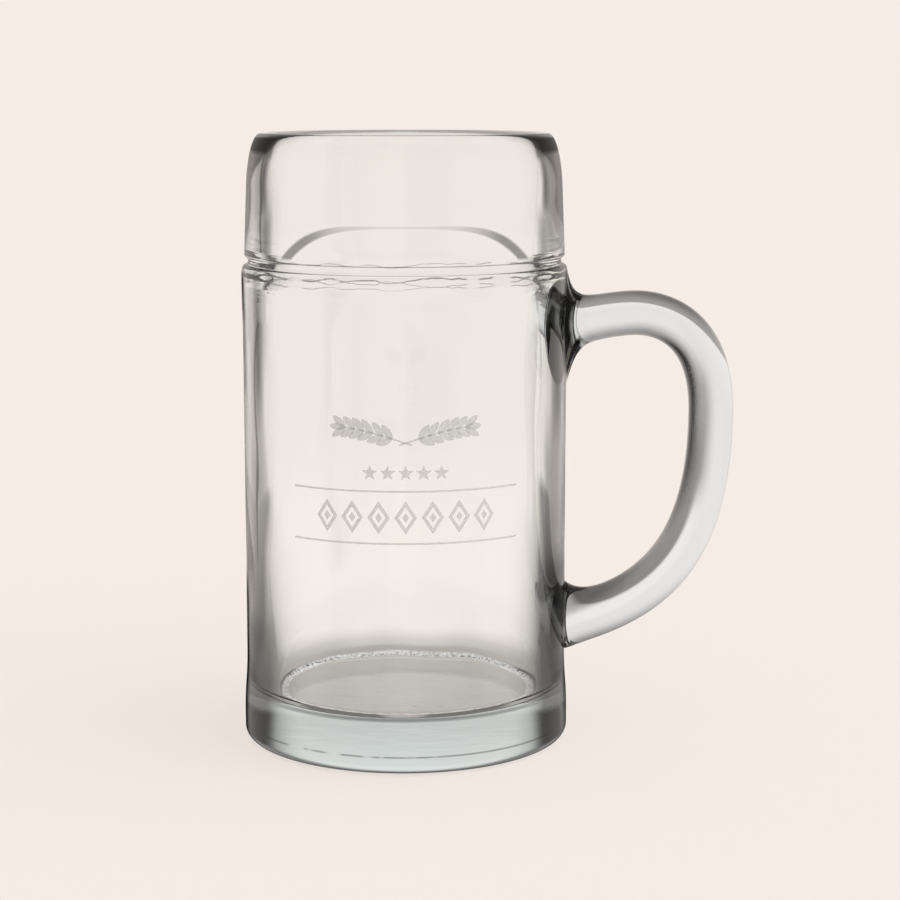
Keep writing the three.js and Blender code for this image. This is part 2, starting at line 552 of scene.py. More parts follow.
@dataclass(frozen=True)
class VesselGlass(ClearGlass):
    """The vessel's glass: it also ripples behind the groove and is frosted, with a painted glow,
    round its floor.

    It carries painted shade: the dark lines, the bows and the dark foot that stand in for what the
    surroundings leave in it.
    """

    name: str = "vessel_glass"
    edge_shade_tint: Colour = (0.72, 0.72, 0.71)
    bore_radius: Span = (37.5 * MM, 38.5 * MM)
    groove_height: float = 123.5 * MM
    groove_reach: float = 6 * MM
    groove_wave_scale: float = 150.0
    groove_wave_depth: float = 0.12 * MM
    groove_wave_run: Axes = (1.0, 1.0, 3.0)
    ring_radius: float = 33.9 * MM
    ring_height: float = 13.6 * MM
    ring_reach: float = 1.5 * MM
    ring_scale: float = 900.0
    ring_depth: float = 0.03 * MM
    ring_cover: float = 0.7
    ring_edge: Span = (0.1, 0.6)
    ring_grain: Span = (0.34, 0.56)
    mottle_scale: float = 130.0
    mottle_depth: float = 0.09 * MM
    mottle_height: Span = (14 * MM, 16 * MM)
    mottle_radius: Span = (19 * MM, 33 * MM)
    bow: BeadBowShade = BeadBowShade()
    foot: FootShade = FootShade()
    floor_line: RingShade = RingShade(14.5 * MM, 0.8 * MM, 0.85, (0.25, 0.6))
    heel_line: RingShade = RingShade(4.8 * MM, 0.35 * MM, 0.8, (0.5, 0.8))
    line_shade_tint: Colour = (0.008, 0.008, 0.008)
    line_scale: float = 160.0
    line_run: Axes = (1.0, 1.0, 0.2)
    line_breaks: Span = (0.36, 0.54)
    lip_shade: Span = (154.6 * MM, 156.4 * MM)
    lip_facing: Span = (0.5, 0.58)
    lip_level: Span = (0.5, 0.7)
    lip_cover: float = 0.75
    back_groove_start: Span = (120.5 * MM, 121.5 * MM)
    back_groove_end: Span = (130.5 * MM, 131.5 * MM)
    back_lip: Span = (146 * MM, 150 * MM)
    back_lip_share: float = 0.5
    heel_height: Span = (2.8 * MM, 4.2 * MM)
    heel_radius: Span = (39.5 * MM, 40.5 * MM)
    mouth: Span = (156.4 * MM, 157 * MM)
    mouth_shade_tint: Colour = (0.74, 0.74, 0.74)
    scrawls: tuple[Scrawl, ...] = (
        Scrawl(125.2 * MM, 0.2 * MM, 0.95, 3.0 * MM),
        Scrawl(124.3 * MM, 0.14 * MM, 0.75, -3.4 * MM),
        Scrawl(123.2 * MM, 0.12 * MM, 0.7, 2.2 * MM),
        Scrawl(128.9 * MM, 0.14 * MM, 0.7, 2.6 * MM),
    )
    scrawl_scale: float = 130.0
    scrawl_run: Axes = (1.0, 1.0, 0.1)
    arcs: tuple[WallArc, ...] = (
        WallArc(0.55, 0.055, 0.05, 148.5 * MM, 12 * MM, 0.97),
        WallArc(0.5, 0.07, 0.0, 134 * MM, 10 * MM, 0.8),
        WallArc(0.59, 0.075, 0.0, 107 * MM, 26 * MM, 0.96, (Turn.LEFT,)),
        WallArc(0.7, 0.12, 0.0, 100 * MM, 22 * MM, 0.97, (Turn.RIGHT,)),
    )
    arc_shade_tint: Colour = (0.01, 0.01, 0.01)
    outline_low: Span = (38 * MM, 58 * MM)
    outline_high_cover: float = 0.45
    outline_shoulder_start: Span = (98 * MM, 108 * MM)
    outline_shoulder_end: Span = (122 * MM, 126 * MM)
    outline_facing: Span = (0.74, 0.9)
    outline_scale: float = 90.0
    outline_run: Axes = (1.0, 1.0, 0.3)
    outline_breaks: Span = (0.2, 0.5)

    def inside(self, at: GlassPoint) -> Socket:
        """1 on the bore and the floor, 0 on the outer wall."""
        return 1 - at.away.smooth_from(*self.bore_radius)

    def outside(self, at: GlassPoint) -> Socket:
        """1 where the outer wall is met from the air, 0 elsewhere."""
        return (1 - self.inside(at)) * at.front

    def ring(self, at: GlassPoint) -> Socket:
        """How near a place is to the corner round the floor.

        Args:
            at: The point on the vessel.

        Returns:
            1 in the corner, falling to 0 at the ring's reach.
        """
        off_radius = (at.away - self.ring_radius) / self.ring_reach
        off_height = (at.z - self.ring_height) / self.ring_reach
        return 1 - (off_radius * off_radius + off_height * off_height).least(1.0)

    def frost(self, at: GlassPoint) -> Socket:
        """Grains of frost with a painted glow, in the corner round the floor, on the side of the
        bore.
        """
        grain = at.graph.noise(at.place, self.ring_scale).smooth_from(*self.ring_grain)
        return self.ring(at).smooth_from(*self.ring_edge) * grain * at.front * self.ring_cover

    def outline(self, at: GlassPoint) -> Socket:
        """How much painted black shade the outer wall has.

        Args:
            at: The point on the vessel.

        Returns:
            An uneven painted black outline where the wall is seen side-on, with the lip's corners and
            the foot.
        """
        uneven = at.pattern(self.outline_run, self.outline_scale)
        shoulder = at.z.smooth_from(*self.outline_shoulder_start)
        shoulder = shoulder * (1 - at.z.smooth_from(*self.outline_shoulder_end))
        light = at.z.smooth_from(*self.outline_low) * (1 - shoulder)
        cover = 1 - light * (1 - self.outline_high_cover)
        line = at.facing.smooth_from(*self.outline_facing)
        line = line * uneven.smooth_from(*self.outline_breaks) * cover
        lip = self.lip(at) * self.lip_cover
        return most_of((line, lip, self.foot.black(at))) * self.outside(at)

    def lip(self, at: GlassPoint) -> Socket:
        """Where the lip takes painted black shade: 1 high up on the lip where it is steep and seen
        side-on, 0 elsewhere.
        """
        steep = 1 - at.rise.smooth_from(*self.lip_level)
        return at.z.smooth_from(*self.lip_shade) * at.facing.smooth_from(*self.lip_facing) * steep

    def unbent(self, at: GlassPoint) -> Socket:
        """Lets light pass the groove at the back, the heel and part of the lip unbent.

        Args:
            at: The point on the vessel.

        Returns:
            1 round the groove for light that has crossed the front wall and where light leaves
            the heel, the lip's share where light leaves the lip, 0 elsewhere.
        """
        groove = at.z.smooth_from(*self.back_groove_start)
        groove = groove * (1 - at.z.smooth_from(*self.back_groove_end)) * at.graph.past_a_wall()
        straight_in = 1 - at.graph.light_path("Glossy Depth").least(1.0)
        lip = at.z.smooth_from(*self.back_lip) * at.behind * straight_in * self.back_lip_share
        heel = at.away.smooth_from(*self.heel_radius) * at.behind
        heel = heel * (1 - at.z.smooth_from(*self.heel_height))
        return most_of((groove, lip, heel)) * (1 - self.inside(at))

    def edge(self, at: GlassPoint) -> Socket:
        """How far the outer wall is seen side-on."""
        return super().edge(at) * (1 - self.inside(at))

    def lines(self, at: GlassPoint) -> Socket:
        """The painted dark lines round the floor, the heel and the groove.

        Args:
            at: The point on the vessel.

        Returns:
            The cover of the darkest line at the point.
        """
        uneven = at.pattern(self.line_run, self.line_scale).smooth_from(*self.line_breaks)
        wavy = at.pattern(self.scrawl_run, self.scrawl_scale)
        base = self.floor_line.share(at) + self.heel_line.share(at) * uneven
        return most_of([base] + [scrawl.share(at, wavy) * uneven for scrawl in self.scrawls])

    def tint(self, at: GlassPoint) -> Socket:
        """The share of each colour that a face lets through.

        Args:
            at: The point on the vessel.

        Returns:
            The plain tint, with the painted shade of the bead's bow, the dark foot, the mouth, and
            the lines and bows.
        """
        outside = self.outside(at)
        # Painted shade: the inside of the mouth is tinted grey.
        mouth = at.z.smooth_from(*self.mouth) * self.inside(at) * at.front
        tint = super().tint(at)
        for share, layer in (
            (self.bow.share(at) * outside, self.bow.tint),
            (self.foot.grey(at) * outside, self.foot.tint),
            (mouth, self.mouth_shade_tint),
            (self.lines(at) * outside, self.line_shade_tint),
            (most_of(arc.share(at) for arc in self.arcs) * outside, self.arc_shade_tint),
        ):
            tint = at.graph.mix_colour(share, tint, layer)
        return tint

    def wave(self, at: GlassPoint) -> Socket:
        """The height of the surface's waves.

        Args:
            at: The point on the vessel.

        Returns:
            The faint waves, with the groove's ripples and the floor's mottling where they belong.
        """
        noise = at.graph.noise
        groove = self.inside(at) * ((at.z - self.groove_height) / self.groove_reach).hump()
        ripple = at.pattern(self.groove_wave_run, self.groove_wave_scale) * self.groove_wave_depth
        low = 1 - at.z.smooth_from(*self.mottle_height)
        low = low * (1 - at.away.smooth_from(*self.mottle_radius))
        mottle = noise(at.place, self.mottle_scale) * self.mottle_depth
        corner = self.ring(at) * (noise(at.place, self.ring_scale) * self.ring_depth)
        return super().wave(at) + groove * ripple + low * mottle + corner


@dataclass(frozen=True)
class SideShade:
    """A painted grey shade that a bar of glass takes on the side that faces one way, between two
    heights.
    """

    side: Axes
    faces: Span
    tint: Colour
    above: float = 0.0
    below: float = 1.0
    slant: Span = (0.02, 0.07)
    blend: float = 15 * MM

    def share(self, at: GlassPoint) -> Socket:
        """How much of the grey a place shows.

        Args:
            at: The point on the bar.

        Returns:
            1 on the side, at the slant and between the heights, 0 elsewhere.
        """
        share = at.graph.along(at.normal, self.side).smooth_from(*self.faces)
        share = share * at.facing.smooth_from(*self.slant) * at.front
        share = share * at.z.smooth_from(self.above - self.blend, self.above)
        return share * (1 - at.z.smooth_from(self.below, self.below + self.blend))


@dataclass(frozen=True)
class HandleGlass(ClearGlass):
    """The handle's glass: a thick bar, with painted shade on its upper and inner sides in place of
    the dark table seen through them.

    Its painted shades are, in order, those of the flank, the underside, the inside, the upper side,
    the crest and the bend.
    """

    name: str = "handle_glass"
    face_tint: Colour = (0.885, 0.93, 0.97)
    edge_shade_tint: Colour = (0.12, 0.12, 0.12)
    edge_facing: Span = (0.62, 1.0)
    shades: tuple[SideShade, ...] = (
        SideShade(
            (-1.0, 0.0, 0.0), (-0.25, 0.6), (0.1, 0.1, 0.1), 72 * MM, 94 * MM, slant=EVERY_SLANT
        ),
        SideShade((-0.7, 0.0, -0.71), (0.1, 0.8), (0.36, 0.36, 0.355)),
        SideShade((-0.6, 0.0, 0.8), (0.16, 0.5), (0.09, 0.09, 0.088), below=75 * MM),
        SideShade((0.35, 0.0, 0.94), (0.55, 0.6), (0.16, 0.16, 0.158), 60 * MM),
        SideShade((0.35, 0.0, 0.94), (0.6, 0.95), (0.025, 0.025, 0.025), 60 * MM),
        SideShade((-0.9, 0.0, -0.43), (0.46, 0.8), (0.001, 0.001, 0.001)),
    )
    root_span: Span = (43 * MM, 43.8 * MM)
    root_heights: Span = (60 * MM, 90 * MM)
    upper_root_reach: float = 3 * MM
    root_shade_tint: Colour = (0.001, 0.001, 0.001)
    root_wall: Span = (42.7 * MM, 43 * MM)
    root_cover: float = 0.92
    root_relief: float = 0.35
    root_facing: Span = (0.2, 0.36)
    streak_scale: float = 170.0
    streak_run: Axes = (0.6, 4.0, 0.35)
    streak_breaks: Span = (0.5, 0.58)
    streak: float = 0.9

    def clear_of_wall(self, at: GlassPoint) -> Socket:
        """1 outside the vessel's wall, 0 where the root lies in it."""
        return at.away.smooth_from(*self.root_wall)

    def root(self, at: GlassPoint) -> Socket:
        """How far a place belongs to the painted dark shade of the root, met from the air.

        Args:
            at: The point on the handle.

        Returns:
            1 next to the wall where it is seen side-on, less through other glass, 0 further out
            and in the streaks.
        """
        upper = at.z.smooth_from(*self.root_heights)
        near = 1 - (at.away - upper * self.upper_root_reach).smooth_from(*self.root_span)
        uneven = at.pattern(self.streak_run, self.streak_scale).smooth_from(*self.streak_breaks)
        slant = at.facing.smooth_from(*self.root_facing)
        relief = at.graph.light_path("Transmission Depth").least(1.0) * self.root_relief
        return near * (1 - uneven * self.streak) * (1 - relief) * slant * at.front

    def outline(self, at: GlassPoint) -> Socket:
        """The root is painted black outside the wall, as painted shade."""
        return self.root(at) * self.clear_of_wall(at) * self.root_cover

    def unbent(self, at: GlassPoint) -> Socket:
        """Lets light that has crossed a wall pass the root in the other wall unbent."""
        return (1 - self.clear_of_wall(at)) * at.graph.past_a_wall()

    def edge(self, at: GlassPoint) -> Socket:
        """How far the bar is seen side-on."""
        return at.facing.smooth_from(*self.edge_facing)

    def tint(self, at: GlassPoint) -> Socket:
        """The share of each colour that a face lets through.

        Args:
            at: The point on the handle.

        Returns:
            The face's tint, with painted grey shade on the sides that would bend the view to the
            table.
        """
        layers = [(shade.share(at), shade.tint) for shade in self.shades]
        layers += [(self.root(at), self.root_shade_tint), (self.edge(at), self.edge_shade_tint)]
        tint: Tint = self.face_tint
        for share, layer in layers:
            tint = at.graph.mix_colour(share, tint, layer)
        return tint


@dataclass(frozen=True)
class FrostedEtch:
    """The roughened skin of an etched mark: pale, matt and partly see-through."""

    name: str = "frosted_etch"
    dark: Colour = (0.46, 0.46, 0.45)
    light: Colour = (0.62, 0.62, 0.61)
    grain_scale: float = 3000.0
    roughness: float = 0.7
    cover: float = 0.34

    def material(self) -> bpy.types.Material:
        """Makes the frosted skin.

        Returns:
            A matt material with a fine grain.
        """
        material, graph = new_material(self.name)
        grain = graph.noise(graph.place(), self.grain_scale)
        tint = graph.mix_colour(grain, self.dark, self.light)
        skin = {"Base Color": tint, "Roughness": self.roughness, "Alpha": self.cover}
        surface = graph.node("ShaderNodeBsdfPrincipled", {}, skin)
        graph.node("ShaderNodeOutputMaterial", {}, {"Surface": surface})
        return material


@dataclass(frozen=True)
class Flag:
    """A dark screen, between two bounds of x squared over the sum of the squares of x and y.

    It stands between two distances from the mug, on one side of it or on both.
    """

    rises: Span
    falls: Span
    tone: float
    near: float = 0.0
    far: float = 100.0
    turns: tuple[Turn, ...] = tuple(Turn)
    soft: float = 1.25

    def shade(self, sideways: Socket) -> Socket:
        """How much light the screen takes away in a direction."""
        inside = sideways.smooth_from(*self.rises) * (1 - sideways.smooth_from(*self.falls))
        return inside * (1 - self.tone)

    def stands(self, x: Socket, away: Socket) -> Socket:
        """Whether the screen stands at a place.

        Args:
            x: The place along X.
            away: Its distance from the mug's axis.

        Returns:
            1 on the screen's sides and between its distances, 0 elsewhere.
        """
        span = away.smooth_from(self.near, self.near * self.soft + MM)
        span = span * (1 - away.smooth_from(self.far, self.far * self.soft))
        return span * sum((x * turn.value).above(0.0) for turn in self.turns)


@dataclass(frozen=True)
class GlassBackdrop:
    """What shows in the glass: the pale background, painted shade on the table and dark flags at the
    sides.

    The flags stand on either side, before and behind the mug. Only light that was thrown back inside
    the glass meets them, so they streak the edges of the walls and leave the view through the mug
    clear.
    """

    high_flag: Flag = Flag((0.40, 0.58), (0.84, 0.96), 0.14)
    low_flags: tuple[Flag, ...] = (
        Flag((0.0, 0.06), (0.6, 0.8), 0.34, far=0.38),
        Flag((0.02, 0.3), (0.42, 0.78), 0.45, 0.28, 1.3, (Turn.LEFT,)),
        Flag((0.29, 0.34), (0.37, 0.43), 0.08, 0.2, 1.4, (Turn.LEFT,)),
        Flag((-0.02, 0.01), (0.25, 0.6), 0.36, 0.28, 1.3, (Turn.RIGHT,)),
        Flag((0.02, 0.14), (0.55, 0.7), 0.57, near=1.1),
    )
    ceiling: Span = (0.1, 0.7)
    ceiling_tone: float = 0.35
    foot_radius: float = 48 * MM
    foot_tone: float = 0.5
    ring_start: float = 62 * MM
    ring_tone: float = 0.5
    clear_start: float = 70 * MM
    clear_end: float = 125 * MM
    thrown_reach: float = 400 * MM
    bright_tone: float = 1.08
    bright_end: float = 220 * MM
    plain_start: float = 600 * MM

    def shows(self, graph: ShaderGraph) -> Socket:
        """1 for rays that left the glass on their way from the eye, 0 for the rest."""
        left = graph.light_path("Is Glossy Ray").most(graph.light_path("Is Transmission Ray"))
        return left * (1 - graph.light_path("Diffuse Depth").least(1.0))

    def thrown_back(self, graph: ShaderGraph) -> Socket:
        """Tells the light that the flags darken.

        Args:
            graph: The graph of the floor or the world.

        Returns:
            1 for rays that were thrown back once inside one wall, or more than once anywhere.
        """
        entered = graph.light_path("Transmission Depth").least(1.0)
        thrown = graph.light_path("Glossy Depth")
        one_wall = entered * (1 - graph.past_a_wall())
        return (thrown.least(1.0) * one_wall).most((thrown - 1).least(1.0))

    def table(self, graph: ShaderGraph, x: Socket, y: Socket) -> Socket:
        """The floor's tone by the place.

        Args:
            graph: The floor's graph.
            x: The place along X.
            y: The place along Y.

        Returns:
            A painted grey shade under the mug and in a ring round it, a painted brighter ring beyond
            and 1 further out, less the flags.
        """
        spread = x * x + y * y
        away = spread.root()
        thrown = self.thrown_back(graph)
        ring = away.smooth_from(self.foot_radius, self.ring_start)
        clear = away.smooth_from(self.clear_start, thrown * self.thrown_reach + self.clear_end)
        near = self.foot_tone + ring * (self.ring_tone - self.foot_tone)
        plain = away.smooth_from(self.bright_end, self.plain_start)
        far = self.bright_tone + plain * (1 - self.bright_tone)
        sideways = x * x / spread
        dark = most_of(flag.shade(sideways) * flag.stands(x, away) for flag in self.low_flags)
        return (near + clear * (far - near)) * (1 - dark * thrown)

    def air(self, graph: ShaderGraph, direction: Socket) -> Socket:
        """The world's tone in a direction.

        Args:
            graph: The world's graph.
            direction: Where the ray goes.

        Returns:
            1 level with the mug, falling off upwards, less the flags.
        """
        x, y, z = graph.axes(direction)
        dark = self.high_flag.shade(x * x / (x * x + y * y)) * self.thrown_back(graph)
        high = z.smooth_from(*self.ceiling)
        return (1 - dark) * (1 - high * (1 - self.ceiling_tone))


@dataclass(frozen=True)
class PaleFloor:
    """The plain cream floor."""

    name: str = "pale_floor"
    cream: Colour = (0.913, 0.839, 0.783)
    glow: float = 0.76

    def material(self, backdrop: GlassBackdrop) -> bpy.types.Material:
        """Makes the floor's matt finish.

        Args:
            backdrop: What the glass shows of the floor.

        Returns:
            A matt material that glows a little to the eye, so that shadows stay faint, and that
            glass sees with the table's painted shade.
        """
        material, graph = new_material(self.name)
        x, y, _ = graph.axes(graph.place())
        in_glass = backdrop.shows(graph)
        tone = 1 - in_glass * (1 - backdrop.table(graph, x, y))
        matt = graph.node("ShaderNodeBsdfDiffuse", {}, {"Color": with_alpha(self.cream)})
        seen = graph.node("ShaderNodeEmission", {}, {"Color": graph.scaled(self.cream, tone)})
        share = in_glass.most(graph.light_path("Is Camera Ray") * self.glow)
        surface = graph.mix_shader(share, matt, seen)
        graph.node("ShaderNodeOutputMaterial", {}, {"Surface": surface})
        return material


@dataclass
class Shell:
    """Points and faces of one closed surface, before it goes into a mesh."""

    points: np.ndarray
    triangles: np.ndarray
    quads: np.ndarray


def facing_out(shell: Shell) -> Shell:
    """Turns a closed skin's faces outward, by the sign of the volume that they enclose.

    Args:
        shell: The skin, with its faces all one way round.

    Returns:
        The skin, turned if it was inside out.
    """
    quads, triangles = shell.quads, shell.triangles
    split = np.vstack([quads[:, [0, 1, 2]], quads[:, [0, 2, 3]], triangles])
    corner = shell.points[split] - shell.points.mean(axis=0)
    volume = np.einsum("ij,ij->", corner[:, 0], np.cross(corner[:, 1], corner[:, 2]))
    if volume < 0:
        return Shell(shell.points, triangles[:, ::-1], quads[:, ::-1])
    return shell


def closed_rings(rings: np.ndarray, start: np.ndarray, end: np.ndarray) -> Shell:
    """Closes a grid of rings into a skin.

    Ring i and ring i + 1 are joined point by point and round the seam, and each end runs to one
    point. The faces are turned outward by the sign of the volume that they enclose.

    Args:
        rings: Points by ring, place round the ring and axis.
        start: The point that closes the first ring.
        end: The point that closes the last ring.

    Returns:
        The closed skin.
    """
    count, around, _ = rings.shape
    points = np.vstack([rings.reshape(-1, 3), start[None], end[None]])
    place = np.arange(count * around).reshape(count, around)
    onward = np.roll(place, -1, axis=1)
    quads = np.stack([place[:-1], onward[:-1], onward[1:], place[1:]], axis=-1)
    first = np.full(around, count * around)
    last = first + 1
    caps = [
        np.stack([first, onward[0], place[0]], axis=-1),
        np.stack([last, place[-1], onward[-1]], axis=-1),
    ]
    return facing_out(Shell(points, np.vstack(caps), quads.reshape(-1, QUAD_CORNERS)))


def closed_loop(grid: np.ndarray) -> Shell:
    """Closes a grid that meets itself both ways, like a ring with a section all round.

    Args:
        grid: Points by place along the loop, place round the section and axis.

    Returns:
        The closed skin, turned outward by the sign of the volume that it encloses.
    """
    along, around, _ = grid.shape
    points = grid.reshape(-1, 3)
    place = np.arange(along * around).reshape(along, around)
    onward = np.roll(place, -1, axis=1)
    next_place = np.roll(place, -1, axis=0)
    next_onward = np.roll(onward, -1, axis=0)
    quads = np.stack([place, onward, next_onward, next_place], axis=-1)
    no_caps = np.empty((0, 3), dtype=int)
    return facing_out(Shell(points, no_caps, quads.reshape(-1, QUAD_CORNERS)))


def joined(shells: Sequence[Shell]) -> Shell:
    """Puts several skins into one list of points and faces.

    Args:
        shells: The skins.

    Returns:
        All of them, with their faces counted on.
    """
    starts = np.cumsum([0] + [len(shell.points) for shell in shells[:-1]])
    return Shell(
        np.vstack([shell.points for shell in shells]),
        np.vstack([shell.triangles + start for shell, start in zip(shells, starts)]),
        np.vstack([shell.quads + start for shell, start in zip(shells, starts)]),
    )


def mesh_object(name: str, shell: Shell, material: bpy.types.Material) -> bpy.types.Object:
    """Puts a skin into the scene.

    Args:
        name: The piece's name.
        shell: Its points and faces.
        material: Its finish.

    Returns:
        The piece, at the origin, shaded smooth.
    """
    mesh = bpy.data.meshes.new(name)
    faces = shell.triangles.tolist() + shell.quads.tolist()
    mesh.from_pydata(shell.points.tolist(), [], faces)
    mesh.polygons.foreach_set("use_smooth", np.ones(len(faces), dtype=bool))
    mesh.materials.append(material)
    mesh.update()
    piece = bpy.data.objects.new(name, mesh)
    bpy.context.scene.collection.objects.link(piece)
    return piece


def straight(start: Sequence[float], end: Sequence[float], steps: int) -> np.ndarray:
    """Points on a line, each a weighted mean of its two ends, without the last."""
    share = np.linspace(0.0, 1.0, steps, endpoint=False)[:, None]
    return (1 - share) * np.asarray(start) + share * np.asarray(end)


def polygon(corners: np.ndarray, steps: int) -> np.ndarray:
    """Points on the straight sides of a closed outline."""
    return np.vstack([straight(a, b, steps) for a, b in zip(corners, np.roll(corners, -1, axis=0))])


def lozenge(width: float, height: float) -> np.ndarray:
    """The four corners of an upright lozenge."""
    return np.array([(width, 0.0), (0.0, height), (-width, 0.0), (0.0, -height)]) / 2


def bend(
    start: Sequence[float],
    leave: Sequence[float],
    arrive: Sequence[float],
    end: Sequence[float],
    steps: int,
) -> np.ndarray:
    """Points on a cubic Bezier curve, without the last.

    Each point is the mean of the four control points, weighted by the terms of (u + t) cubed,
    where t runs from 0 to 1 and u is 1 - t.

    Args:
        start: Where the curve begins.
        leave: The control point that it leaves towards.
        arrive: The control point that it arrives from.
        end: Where the curve ends.
        steps: How many points.

    Returns:
        The points.
    """
    t = np.linspace(0.0, 1.0, steps, endpoint=False)[:, None]
    u = 1 - t
    weights = (u**3, 3 * u * u * t, 3 * u * t * t, t**3)
    return sum(w * np.asarray(p) for w, p in zip(weights, (start, leave, arrive, end)))


def eased(start: Sequence[float], end: Sequence[float], steps: int) -> np.ndarray:
    """A bend that leaves and arrives upright.

    Args:
        start: Radius and height where it begins.
        end: Radius and height where it ends.
        steps: How many points.

    Returns:
        The points, without the last.
    """
    middle = (start[1] + end[1]) / 2
    return bend(start, (start[0], middle), (end[0], middle), end, steps)


def arc(centre: Sequence[float], radius: float, start: float, end: float, steps: int) -> np.ndarray:
    """Points on a circle: its centre plus the radius times the cosine and sine of the angle.

    Args:
        centre: The circle's centre.
        radius: The circle's radius.
        start: The first angle in degrees.
        end: The last angle in degrees.
        steps: How many points.

    Returns:
        The points, without the last.
    """
    angle = np.radians(np.linspace(start, end, steps, endpoint=False))
    return np.asarray(centre) + radius * np.stack([np.cos(angle), np.sin(angle)], axis=-1)


@dataclass(frozen=True)
class Ripple:
    """One slow wave of the bore's wall, round it and up it."""

    turns: int
    climb: float
    start: float
    share: float


@dataclass
class Vessel:
    """The thick-walled glass body, turned about the Z axis."""

    height: float
    foot_radius: float
    foot_swell: float = 0.7 * MM
    body_wall: float = 6.8 * MM
    floor_thickness: float = 13 * MM
    floor_corner: float = 2.6 * MM
    foot_widest_height: float = 6 * MM
    foot_height: float = 24 * MM
    heel_round: float = 2.8 * MM
    shoulder_swell: float = 0.2 * MM
    shoulder_height: float = 18 * MM
    shoulder_roll_height: float = 2.6 * MM
    shoulder_roll_depth: float = 1.2 * MM
    groove_width: float = 2.1 * MM
    groove_depth: float = 1.1 * MM
    groove_edge_round: float = 0.6 * MM
    collar_height: float = 32 * MM
    collar_set_back: float = 0.6 * MM
    collar_taper: float = 0.7 * MM
    collar_wall: float = 7 * MM
    lip_height: float = 13.4 * MM
    lip_draw_in: float = 4.1 * MM
    lip_upright_share: float = 0.6
    lip_inner_round: float = 1.2 * MM
    bore_taper: float = 0.5 * MM
    bead_depth: float = 0.8 * MM
    bead_rise: float = 0.8 * MM
    bead_fall: float = 7.6 * MM
    lip_calm: float = 40 * MM
    wave: float = 0.08 * MM
    ripples: tuple[Ripple, ...] = (
        Ripple(3, 9.0, 0.0, 1.0),
        Ripple(7, -17.0, 1.0, 0.6),
        Ripple(12, 26.0, 2.0, 0.4),
    )
    around: int = 288
    fine: int = 14

    @classmethod
    def from_frame(cls) -> "Vessel":
        """Takes the height and the foot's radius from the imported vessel."""
        _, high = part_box("vessel")
        return cls(height=high.z, foot_radius=high.y)

    @property
    def body_radius(self) -> float:
        """The plain wall's outer radius."""
        return self.foot_radius - self.foot_swell

    @property
    def groove_top(self) -> float:
        """The height of the collar's lower edge."""
        return self.height - self.collar_height

    @property
    def groove_bottom(self) -> float:
        """The height of the shoulder's upper edge."""
        return self.groove_top - self.groove_width

    def body_profile(self) -> np.ndarray:
        """Traces the outer wall from the heel up to the shoulder.

        Returns:
            Radius and height of each point.
        """
        foot, body, fine = self.foot_radius, self.body_radius, self.fine
        shoulder = body + self.shoulder_swell
        shoulder_top = self.groove_bottom - self.shoulder_roll_height
        swell_start = shoulder_top - self.shoulder_height
        heel = (foot - self.heel_round, self.heel_round)
        return np.vstack([
            arc(heel, self.heel_round, -RIGHT_ANGLE, 0.0, fine),
            straight((foot, self.heel_round), (foot, self.foot_widest_height), 2),
            eased((foot, self.foot_widest_height), (body, self.foot_height), fine),
            straight((body, self.foot_height), (body, swell_start), fine),
            eased((body, swell_start), (shoulder, shoulder_top), fine),
        ])

    def collar_profile(self) -> np.ndarray:
        """Traces the outer wall from the shoulder's roll up to the lip's crest.

        Returns:
            Radius and height of each point.
        """
        fine = self.fine
        low, top = self.groove_bottom, self.groove_top
        shoulder = self.body_radius + self.shoulder_swell
        roll_end = shoulder - self.shoulder_roll_depth
        collar = self.body_radius - self.collar_set_back
        floor = collar - self.groove_depth
        edge = self.groove_edge_round
        lip_foot = self.height - self.lip_height
        lip_foot_radius = collar - self.collar_taper
        crest = lip_foot_radius - self.lip_draw_in
        roll_pull = (shoulder, low - self.shoulder_roll_height / 3)
        roll_arrive = (shoulder - self.shoulder_roll_depth / 3, low)
        lip_leave = (
            lip_foot_radius - self.collar_taper / 2,
            lip_foot + self.lip_height * self.lip_upright_share,
        )
        lip_arrive = (crest + self.lip_draw_in / 2, self.height)
        return np.vstack([
            bend((shoulder, low - self.shoulder_roll_height), roll_pull, roll_arrive,
                 (roll_end, low), fine),
            bend((roll_end, low), (floor, low), (floor, top), (collar - edge, top), fine),
            arc((collar - edge, top + edge), edge, -RIGHT_ANGLE, 0.0, fine // 2),
            straight((collar, top + edge), (lip_foot_radius, lip_foot), fine),
            bend((lip_foot_radius, lip_foot), lip_leave, lip_arrive, (crest, self.height), fine),
        ])

    def bore_profile(self) -> np.ndarray:
        """Traces the inner wall from the lip's crest down to the floor.

        Returns:
            Radius and height of each point.
        """
        fine = self.fine
        collar = self.body_radius - self.collar_set_back
        crest = collar - self.collar_taper - self.lip_draw_in
        upper = collar - self.collar_wall
        mouth = upper + self.bore_taper
        lower = self.body_radius - self.body_wall
        bead = upper - self.bead_depth
        bead_crest = self.groove_top - self.groove_width / 2 + self.bead_rise
        bead_bottom = bead_crest - self.bead_fall
        lip_foot = self.height - self.lip_inner_round
        corner = self.floor_thickness + self.floor_corner
        return np.vstack([
            bend((crest, self.height), ((crest + 2 * mouth) / 3, self.height),
                 (mouth, (2 * self.height + lip_foot) / 3), (mouth, lip_foot), fine),
            eased((mouth, lip_foot), (bead, bead_crest), 2 * fine),
            eased((bead, bead_crest), (lower, bead_bottom), fine),
            straight((lower, bead_bottom), (lower, corner), 2 * fine),
            arc((lower - self.floor_corner, corner), self.floor_corner, 0.0, -RIGHT_ANGLE, fine),
            straight((lower - self.floor_corner, self.floor_thickness),
                     (0.0, self.floor_thickness), fine),
        ])

    def wall_radius(self, height: np.ndarray) -> np.ndarray:
        """The outer wall's radius at each height, read off its profile."""
        profile = self.body_profile()
        return np.interp(height, profile[:, 1], profile[:, 0])

